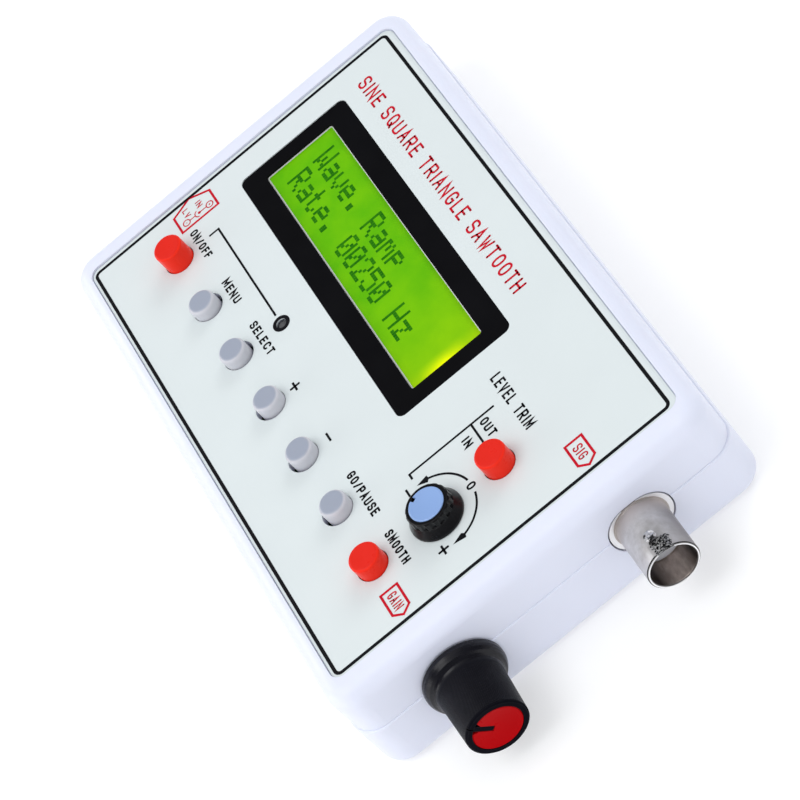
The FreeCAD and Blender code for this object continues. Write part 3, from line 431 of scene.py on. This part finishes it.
def make_materials():
    plastic("casing", WHITE, 0.42, grain=0.3, depth=0.005, vary=0.012, sub=0.05)
    plastic("panel", PANEL, 0.34, grain=0.2, depth=0.002, vary=0.01, edge=0.05)
    plastic("bezel", BLACK, 0.38, grain=0.25, depth=0.003, vary=0.2, edge=0.08, shine=0.08)
    lit_display()
    display_dots()
    plastic("backlight", (0.6, 0.75, 0.25), 0.4)
    board("board_green", (0.012, 0.12, 0.045))
    plastic("chip_black", (0.018, 0.018, 0.018), 0.5, grain=0.12, depth=0.006)
    plastic("black_plastic", BLACK, 0.3, grain=0.22, depth=0.005, vary=0.15, edge_wear_and_highlight=0.08,
            shine=0.25)
    metal("steel", (0.55, 0.55, 0.56), 0.28)
    metal("aluminium_can", (0.75, 0.75, 0.76), 0.25)
    plastic("ceramic", (0.42, 0.3, 0.18), 0.45, grain=0.1)
    metal("brass", (0.72, 0.5, 0.2), 0.25)
    socket_metal()
    grip_plastic()
    plastic("pale_plastic", (0.80, 0.80, 0.84), 0.35, grain=0.25, sub=0.1)
    plastic("white_stem", (0.75, 0.75, 0.74), 0.35, sub=0.1)
    # Red and grey buttons: their paler edges are a painted rim highlight and their darker tops
    # are painted shade.
    red = plastic("red_button", RED, 0.3, grain=0.5, depth=0.004, vary=0.03, edge_wear_and_highlight=0.45,
                  edge=0.25, sub=0.08, shine=0.12)
    painted_top_shade(red, (0.70, 0.02, 0.011))
    grey = plastic("grey_button", GREY, 0.34, grain=0.4, depth=0.004, vary=0.02, edge_wear_and_highlight=0.35,
                   edge=0.25, sub=0.05, shine=0.35)
    painted_top_shade(grey, (0.315, 0.345, 0.42))
    blue = plastic("blue_cap", (0.225, 0.36, 0.66), 0.4, grain=0.4, depth=0.003, vary=0.03,
                   edge=0.1)
    dish(blue, "offset_knob_cap", "XY", 3.2, 0.3)
    insert = plastic("red_insert", (0.41, 0.002, 0.004), 0.3, grain=0.5, depth=0.004, vary=0.06,
                     edge=0.1, shine=0.02)
    dish(insert, "amplitude_knob_insert", "YZ", 4.4, 0.5)
    plastic("led_lens", (0.10, 0.10, 0.105), 0.15, grain=1.0, depth=0.01, shine=0.4)
    ink("ink_black", (0.006, 0.006, 0.008))
    ink("ink_red", (0.52, 0.004, 0.018))
    plastic("sheet_edge", (0.62, 0.64, 0.6), 0.4)


def dress_nodes():
    """Give every CAD node the material of its slot in the record."""
    for part in frame["record"]["subparts"]:
        node = NODES[part["node"]]
        node.data.materials.clear()
        slot = "grip_plastic" if part["node"] == "amplitude_knob" else part["material_slot"]
        node.data.materials.append(MATERIALS[slot])


# ------------------------------------------------------------------ lettering
# Single-stroke capitals on a unit box. A stroke is a run of points; a run marked "~" is
# smoothed into a curve through the middles of its sides.
LETTER_GAP = 0.5
WIDTHS = {"I": 0.0, "/": 0.7, "W": 1.3, "M": 1.2, " ": 0.45, "E": 0.9, "F": 0.85, "L": 0.85}
LETTERS = {
    "A": ([(0, 0), (0.5, 1), (1, 0)], [(0.19, 0.36), (0.81, 0.36)]),
    "C": (["~", (1, 0.78), (1, 1), (0, 1), (0, 0), (1, 0), (1, 0.22)],),
    "E": ([(1, 1), (0, 1), (0, 0), (1, 0)], [(0, 0.52), (0.85, 0.52)]),
    "F": ([(1, 1), (0, 1), (0, 0)], [(0, 0.52), (0.85, 0.52)]),
    "G": (["~", (1, 0.78), (1, 1), (0, 1), (0, 0), (1, 0), (1, 0.25)],
          [(1, 0.25), (1, 0.46), (0.55, 0.46)]),
    "H": ([(0, 0), (0, 1)], [(1, 0), (1, 1)], [(0, 0.52), (1, 0.52)]),
    "I": ([(0, 0), (0, 1)],),
    "L": ([(0, 1), (0, 0), (1, 0)],),
    "M": ([(0, 0), (0, 1), (0.5, 0.3), (1, 1), (1, 0)],),
    "N": ([(0, 0), (0, 1), (1, 0), (1, 1)],),
    "O": (["~", (0.5, 1), (0, 1), (0, 0), (1, 0), (1, 1), (0.5, 1)],),
    "P": ([(0, 0), (0, 1)], ["~", (0, 1), (0.5, 1), (1, 1), (1, 0.46), (0.5, 0.46), (0, 0.46)]),
    "Q": (["~", (0.5, 1), (0, 1), (0, 0), (1, 0), (1, 1), (0.5, 1)],
          [(0.6, 0.28), (1.05, -0.06)]),
    "R": ([(0, 0), (0, 1)], ["~", (0, 1), (0.5, 1), (1, 1), (1, 0.48), (0.5, 0.48), (0, 0.48)],
          [(0.5, 0.48), (1, 0)]),
    "S": (["~", (1, 0.8), (1, 1), (0, 1), (0, 0.56), (0.5, 0.5), (1, 0.44), (1, 0), (0, 0),
           (0, 0.2)],),
    "T": ([(0, 1), (1, 1)], [(0.5, 1), (0.5, 0)]),
    "U": (["~", (0, 1), (0, 0.3), (0, 0), (1, 0), (1, 0.3), (1, 1)],),
    "V": ([(0, 1), (0.5, 0), (1, 1)],),
    "W": ([(0, 1), (0.27, 0), (0.5, 0.75), (0.73, 0), (1, 1)],),
    "/": ([(0, 0), (1, 1)],),
    "0": (["~", (0.5, 1), (0, 1), (0, 0), (1, 0), (1, 1), (0.5, 1)],),
}


def curved(stroke):
    """The points of a stroke, smoothed when it is marked as a curve."""
    if stroke[0] != "~":
        return stroke
    knots = [Vector(knot) for knot in stroke[1:]]
    points = [knots[0]]
    for index in range(1, len(knots) - 1):
        start = (knots[index - 1] + knots[index]) / 2 if index > 1 else knots[0]
        last = index == len(knots) - 2
        end = knots[index + 1] if last else (knots[index] + knots[index + 1]) / 2
        for step in range(1, 6):
            t = step / 5
            points.append(start.lerp(knots[index], t).lerp(knots[index].lerp(end, t), t))
    return points


# ------------------------------------------------------------------ mesh helpers
def finish_piece(name, mesh, material, body):
    """Put a mesh in the scene as a piece that rides on a body."""
    piece = bpy.data.objects.new(name, mesh)
    bpy.context.scene.collection.objects.link(piece)
    piece.data.materials.append(MATERIALS[material])
    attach(piece, body)
    return piece


def prism(bm, outline, low, depth):
    """A flat shape given by its (x, y) corners in metres, raised by depth."""
    under = [bm.verts.new((x, y, low)) for x, y in outline]
    above = [bm.verts.new((x, y, low + depth)) for x, y in outline]
    bm.faces.new(list(reversed(under)))
    bm.faces.new(above)
    count = len(outline)
    for index in range(count):
        following = (index + 1) % count
        bm.faces.new((under[index], under[following], above[following], above[index]))


def turned_point(centre, radius, degrees):
    angle = math.radians(degrees)
    return (centre[0] + radius * math.cos(angle), centre[1] + radius * math.sin(angle))


def turned_points(centre, radius, start, end, steps):
    """Points on an arc, with angles in degrees and sizes in millimetres."""
    return [turned_point(centre, radius, start + (end - start) * index / steps)
            for index in range(steps + 1)]


def circle(centre, radius, count):
    return turned_points(centre, radius, 0, 360 * (1 - 1 / count), count - 1)


class Print:
    """Flat ink laid on the panel; places are in millimetres in the row frame."""

    def __init__(self, name, material):
        self.name = name
        self.material = material
        self.mesh = bmesh.new()
        self.low = PANEL_TOP + INK_LIFT

    def band(self, points, width, closed=False, round_ends=False):
        """A line of even width with mitred corners through points."""
        spots = [Vector(point) for point in points]
        if round_ends and (spots[0] - spots[-1]).length < 1e-6:
            closed = True
            spots.pop()
        elif round_ends:
            for spot in (spots[0], spots[-1]):
                self.disc(spot, width / 2)
        count = len(spots)
        left, right = [], []
        for index in range(count):
            before = spots[(index - 1) % count] if closed or index > 0 else None
            after = spots[(index + 1) % count] if closed or index < count - 1 else None
            first = (spots[index] - before).normalized() if before is not None else None
            second = (after - spots[index]).normalized() if after is not None else None
            first = first if first is not None else second
            second = second if second is not None else first
            along = (first + second).normalized()
            side = Vector((-along.y, along.x))
            reach = width / 2 / max(0.3, side.dot(Vector((-first.y, first.x))))
            left.append(spots[index] + side * reach)
            right.append(spots[index] - side * reach)
        self.strip(left, right, closed)

    def strip(self, left, right, closed):
        """A solid band between two rails."""
        rings = []
        for one, other in zip(left, right):
            ring = []
            for spot, height in ((one, 0), (one, INK_DEPTH), (other, INK_DEPTH), (other, 0)):
                ring.append(self.mesh.verts.new((spot[0] * MM, spot[1] * MM, self.low + height)))
            rings.append(ring)
        last = len(rings) if closed else len(rings) - 1
        for index in range(last):
            here = rings[index]
            there = rings[(index + 1) % len(rings)]
            for side in range(4):
                near = (side + 1) % 4
                self.mesh.faces.new((here[side], there[side], there[near], here[near]))
        if not closed:
            self.mesh.faces.new(rings[0])
            self.mesh.faces.new(list(reversed(rings[-1])))

    def shape(self, points):
        """A filled outline."""
        prism(self.mesh, [(x * MM, y * MM) for x, y in points], self.low, INK_DEPTH)

    def disc(self, centre, radius):
        self.shape(circle(centre, radius, 32))

    def ring(self, centre, radius, width):
        self.band(circle(centre, radius, 48), width, closed=True)

    def arrowhead(self, centre, radius, end, turn):
        """The head of a curved arrow that ends at an angle and points on by turn degrees."""
        spots = [(radius - 0.1, end + turn), (radius - 0.7, end + turn * 0.1),
                 (radius, end - turn * 0.05), (radius + 0.7, end + turn * 0.1)]
        if turn < 0:
            spots = [spots[0], spots[3], spots[2], spots[1]]
        self.shape([turned_point(centre, *spot) for spot in spots])

    def words(self, text, left, base, width, height, weight=0.3):
        """Single-stroke capitals between base and base + height, fitted to width."""
        shares = [WIDTHS.get(letter, 1.0) for letter in text]
        gaps = LETTER_GAP * (len(text) - 1)
        unit = (width - weight * len(text)) / (sum(shares) + gaps)
        tall = height - weight
        start = left + weight / 2
        for letter, share in zip(text, shares):
            for stroke in LETTERS.get(letter, ()):
                self.band([(start + x * share * unit, base + weight / 2 + y * tall)
                           for x, y in curved(stroke)], weight, round_ends=True)
            start += (share + LETTER_GAP) * unit + weight

    def lay(self):
        bmesh.ops.remove_doubles(self.mesh, verts=self.mesh.verts, dist=1e-7)
        bmesh.ops.recalc_face_normals(self.mesh, faces=self.mesh.faces)
        mesh = bpy.data.meshes.new(self.name)
        self.mesh.to_mesh(mesh)
        self.mesh.free()
        return finish_piece(self.name, mesh, self.material, "casing")


def rounded_outline(left, right, low, high, radius, steps=6):
    """A rounded rectangle as points, anticlockwise."""
    corners = [(right - radius, low + radius, -90), (right - radius, high - radius, 0),
               (left + radius, high - radius, 90), (left + radius, low + radius, 180)]
    points = []
    for x, y, start in corners:
        points += turned_points((x, y), radius, start, start + 90, steps)
    return points


# ------------------------------------------------------------------ printed panel
BORDER = (-56.56, 56.65, -34.57, 33.8)
OFFSET_AXIS = (42.95, -7.05)


def print_frame():
    border = Print("print_border", "ink_black")
    border.band(rounded_outline(*BORDER, 1.0), 0.64, closed=True)
    border.lay()


def print_legends():
    black = Print("print_legends", "ink_black")
    base = -15.95
    pen = 0.36
    black.words("ON/OFF", -48.75, base, 8.1, 1.75, pen)
    black.words("MENU", -33.1, base, 6.5, 1.75, pen)
    black.words("SELECT", -19.95, base, 9.0, 1.75, pen)
    black.words("GO/PAUSE", 23.4, base, 11.1, 1.8, pen)
    black.words("SMOOTH", 39.2, base, 7.9, 1.75, pen)
    black.words("LEVEL TRIM", 27.1, 12.9, 14.1, 2.2, 0.36)
    black.words("OUT", 33.15, 7.35, 4.2, 1.8, pen)
    black.words("IN", 34.0, 3.1, 2.0, 1.7, pen)
    black.words("0", 42.35, -0.45, 1.25, 1.8, pen)
    for x, y, crossed in ((-0.9, -14.9, True), (13.7, -14.8, False), (50.1, -9.1, True)):
        black.band([(x - 1.05, y), (x + 1.05, y)], 0.42)
        if crossed:
            black.band([(x, y - 1.05), (x, y + 1.05)], 0.42)
    black.lay()


def print_lines():
    black = Print("print_lines", "ink_black")
    fine = 0.4
    black.band([(-44.85, -13.1), (-44.85, -10.95), (-17.6, -10.95)], fine)
    led = middle("power_led") / MM
    black.ring((led.x, led.y), 1.36, 0.7)
    black.band([(33.6, -6.95), (32.35, -6.95), (32.35, 10.95)], fine)
    black.band([(32.35, 6.1), (37.3, 6.1)], fine)
    black.band([(34.55, -8.85), (36.3, -8.85)], fine)
    radius = 7.65
    for start, end, turn in ((100.5, 162, 17), (78, 17, -19)):
        black.band(turned_points(OFFSET_AXIS, radius, start, end, 24), fine)
        black.arrowhead(OFFSET_AXIS, radius, end, turn)
    black.lay()


def print_red():
    red = Print("print_red", "ink_red")
    red.words("SINE SQUARE TRIANGLE SAWTOOTH", -50.8, 24.35, 66.2, 3.0, 0.42)
    thin = 0.45
    for x, y, text, width in ((49.5, 16.3, "SIG", 3.0), (49.3, -21.85, "GAIN", 3.7)):
        red.band([(x, y), (x + 4.9, y), (x + 6.1, y + 1.7), (x + 4.95, y + 3.4), (x, y + 3.4)],
                 thin, closed=True)
        red.words(text, x + 2.75 - width / 2, y + 0.75, width, 1.9, 0.26)
    print_power_mark(red, thin)
    red.lay()


def print_power_mark(red, thin):
    """The supply mark: a flag pointing at the left wall with the socket's polarity."""
    red.band([(-50.15, -8.45), (-54.65, -8.45), (-56.4, -12.5), (-54.65, -16.8),
              (-50.15, -16.8)], thin, closed=True)
    x = -51.6
    fine = 0.2
    for y, dot in ((-9.85, 0.16), (-15.2, 0.1)):
        red.ring((x, y), 0.72, fine)
        red.disc((x, y), dot)
    red.band([(x, -10.6), (x, -12.1)], fine)
    red.disc((x, -12.25), 0.3)
    red.band([(x, -13.2), (x, -14.45)], fine)
    red.band(turned_points((x, -12.35), 0.85, 195, 345, 12), fine)
    red.words("IN", -54.3, -12.1, 1.5, 1.25, 0.2)
    red.words("LV", -54.7, -14.9, 2.1, 1.25, 0.2)


# ------------------------------------------------------------------ display
GLYPHS = {
    "R": "11110 10001 10001 11110 10100 10010 10001",
    "W": "10001 10001 10001 10101 10101 11011 10001",
    "H": "10001 10001 10001 11111 10001 10001 10001",
    "a": "00000 00000 01110 00001 01111 10001 01111",
    "v": "00000 00000 10001 10001 10001 01010 00100",
    "e": "00000 00000 01110 10001 11111 10000 01110",
    "m": "00000 00000 11010 10101 10101 10001 10001",
    "p": "00000 00000 11110 10001 11110 10000 10000",
    "t": "01000 01000 11100 01000 01000 01001 00110",
    "z": "00000 00000 11111 00010 00100 01000 11111",
    ".": "00000 00000 00000 00000 00000 01100 01100",
    "0": "01110 10001 10011 10101 11001 10001 01110",
    "2": "01110 10001 00001 00010 00100 01000 11111",
    "5": "11111 10000 11110 00001 00001 10001 01110",
}
DISPLAY_ROWS = ("Wave. Ramp", "Rate. 00250 Hz")


def display_text():
    """Dot-matrix characters just above the glass."""
    bm = bmesh.new()
    cell = 3.55
    row_pitch = 5.95
    dot_x, dot_y = 0.6, 0.7
    start_x = -43.3
    top_y = 14.6
    low = GLASS_TOP + 0.01 * MM
    gap_x, gap_y = 0.03, 0.012
    for row, text in enumerate(DISPLAY_ROWS):
        for column, letter in enumerate(text):
            if letter == " ":
                continue
            for line, bits in enumerate(GLYPHS[letter].split()):
                for place, bit in enumerate(bits):
                    if bit == "0":
                        continue
                    x = start_x + column * cell + place * dot_x
                    y = top_y - row * row_pitch - line * dot_y
                    left, right = x + gap_x, x + dot_x - gap_x
                    down, up = y - dot_y + gap_y, y - gap_y
                    corners = [(left, down), (right, down), (right, up), (left, up)]
                    prism(bm, [(a * MM, b * MM) for a, b in corners], low, 0.02 * MM)
    mesh = bpy.data.meshes.new("display_text")
    bm.to_mesh(mesh)
    bm.free()
    finish_piece("display_text", mesh, "display_dots", "casing")


def window_edge():
    """The bare cut edge of the bezel's sheet round the window."""
    bm = bmesh.new()
    outer = rounded_outline(WINDOW_LEFT, WINDOW_RIGHT, WINDOW_LOW, WINDOW_HIGH, 0.5, 4)
    inner = rounded_outline(WINDOW_LEFT + 0.28, WINDOW_RIGHT - 0.5, WINDOW_LOW + 0.28,
                            WINDOW_HIGH - 0.2, 0.25, 4)
    high = GLASS_TOP + 0.12 * MM
    low = GLASS_TOP + 0.02 * MM
    rings = [[bm.verts.new((x * MM, y * MM, z)) for x, y in points]
             for points, z in ((outer, low), (outer, high), (inner, high - 0.04 * MM),
                               (inner, low))]
    count = len(outer)
    for index in range(count):
        following = (index + 1) % count
        for layer in range(4):
            near = (layer + 1) % 4
            bm.faces.new((rings[layer][index], rings[layer][following],
                          rings[near][following], rings[near][index]))
    bmesh.ops.recalc_face_normals(bm, faces=bm.faces)
    mesh = bpy.data.meshes.new("display_window_edge")
    bm.to_mesh(mesh)
    bm.free()
    finish_piece("display_window_edge", mesh, "sheet_edge", "casing")


# ------------------------------------------------------------------ stage
def make_world():
    """Even white surroundings, with a darker room for mirror reflections."""
    world = bpy.data.worlds.new("studio")
    bpy.context.scene.world = world
    world.use_nodes = True
    tree = world.node_tree
    even = tree.nodes["Background"]
    even.inputs["Color"].default_value = (0.95, 0.97, 1.0, 1)
    even.inputs["Strength"].default_value = 0.78
    place = tree.nodes.new("ShaderNodeTexCoord")
    split = tree.nodes.new("ShaderNodeSeparateXYZ")
    tree.links.new(place.outputs["Generated"], split.inputs["Vector"])
    ramp = tree.nodes.new("ShaderNodeValToRGB")
    room = ramp.color_ramp
    room.elements[0].position = 0.0
    room.elements[0].color = (0.55, 0.55, 0.56, 1)
    room.elements[1].position = 1.0
    room.elements[1].color = (0.8, 0.8, 0.82, 1)
    for spot, shade in ((0.46, 0.3), (0.56, 0.12), (0.88, 0.14)):
        stop = room.elements.new(spot)
        stop.color = (shade, shade, shade * 1.05, 1)
    height = tree.nodes.new("ShaderNodeMapRange")
    height.inputs["From Min"].default_value = -1.0
    tree.links.new(split.outputs["Z"], height.inputs["Value"])
    tree.links.new(height.outputs["Result"], ramp.inputs["Fac"])
    mirrored = tree.nodes.new("ShaderNodeBackground")
    tree.links.new(ramp.outputs["Color"], mirrored.inputs["Color"])
    path = tree.nodes.new("ShaderNodeLightPath")
    choose = tree.nodes.new("ShaderNodeMixShader")
    tree.links.new(path.outputs["Is Glossy Ray"], choose.inputs["Fac"])
    tree.links.new(even.outputs["Background"], choose.inputs[1])
    tree.links.new(mirrored.outputs["Background"], choose.inputs[2])
    tree.links.new(choose.outputs["Shader"], tree.nodes["World Output"].inputs["Surface"])


def make_floor():
    """A plain pale floor, lit a little from within so that its shadows stay faint."""
    mesh = bpy.data.meshes.new("floor")
    bm = bmesh.new()
    bmesh.ops.create_grid(bm, x_segments=1, y_segments=1, size=4.0)
    bm.to_mesh(mesh)
    bm.free()
    floor = bpy.data.objects.new("floor", mesh)
    floor.location.z = -0.0002
    bpy.context.scene.collection.objects.link(floor)
    g = Graph("floor")
    pale = g.mix(g.spread(g.noise(120, 2), 0, 1), (0.62, 0.62, 0.62), (0.64, 0.64, 0.64))
    g.colour(pale)
    g.colour(pale, "Emission Color")
    g.set(Roughness=0.9, Specular_IOR_Level=0.0, Emission_Strength=0.62)
    floor.data.materials.append(g.material)


def softbox(name, place, target, size, power, tint=(1, 1, 1), glossy=True, diffuse=True):
    """An area light at place that faces target, seen by reflections or by matt faces or both."""
    light = bpy.data.lights.new(name, "AREA")
    light.shape = "RECTANGLE"
    light.size, light.size_y = size
    light.energy = power
    light.color = tint
    lamp = bpy.data.objects.new(name, light)
    lamp.location = place
    aim = Vector(target) - Vector(place)
    lamp.rotation_mode = "QUATERNION"
    lamp.rotation_quaternion = aim.to_track_quat("-Z", "Y")
    lamp.visible_glossy = glossy
    lamp.visible_diffuse = diffuse
    bpy.context.scene.collection.objects.link(lamp)


def make_lights():
    softbox("key", (0.1, -0.35, 0.8), (0, 0, 0), (0.6, 0.5), 2.45)
    softbox("fill", (0.8, -0.15, 0.3), (0, 0, 0.02), (0.5, 0.5), 0.85, (0.98, 0.98, 1.0),
            glossy=False)
    softbox("rim", (-0.5, 0.6, 0.4), (0, 0, 0), (0.5, 0.3), 2.0, glossy=False)
    softbox("streak", (-0.66, -0.6, 0.36), (0.065, 0, 0.01), (0.4, 0.3), 1.6, diffuse=False)
    softbox("left", (-0.1, -0.8, 0.2), (0, 0, 0.01), (0.6, 0.3), 1.4)


def make_camera():
    """A long lens at the viewing angle, rolled so that the panel stands on its corner."""
    azimuth, elevation, roll = (math.radians(a) for a in (97.284, 44.992, -44.525))
    back = Vector((math.sin(azimuth) * math.cos(elevation),
                   -math.cos(azimuth) * math.cos(elevation), math.sin(elevation)))
    level = Vector((0, 0, 1)).cross(back).normalized()
    above = back.cross(level)
    right = math.cos(roll) * level + math.sin(roll) * above
    up = math.cos(roll) * above - math.sin(roll) * level
    data = bpy.data.cameras.new("camera")
    data.sensor_width = 36.0
    data.lens = 159.1
    data.clip_start = 0.01
    camera = bpy.data.objects.new("camera", data)
    place = Vector((0.43083, 0.05153, 0.43803))
    rows = [[right[i], up[i], back[i], place[i]] for i in range(3)]
    camera.matrix_world = Matrix(rows + [[0, 0, 0, 1]])
    bpy.context.scene.collection.objects.link(camera)
    bpy.context.scene.camera = camera
    bpy.context.scene.view_settings.view_transform = "Standard"


# ------------------------------------------------------------------ build
make_materials()
dress_nodes()
print_frame()
print_legends()
print_lines()
print_red()
display_text()
window_edge()
make_world()
make_floor()
make_lights()
make_camera()
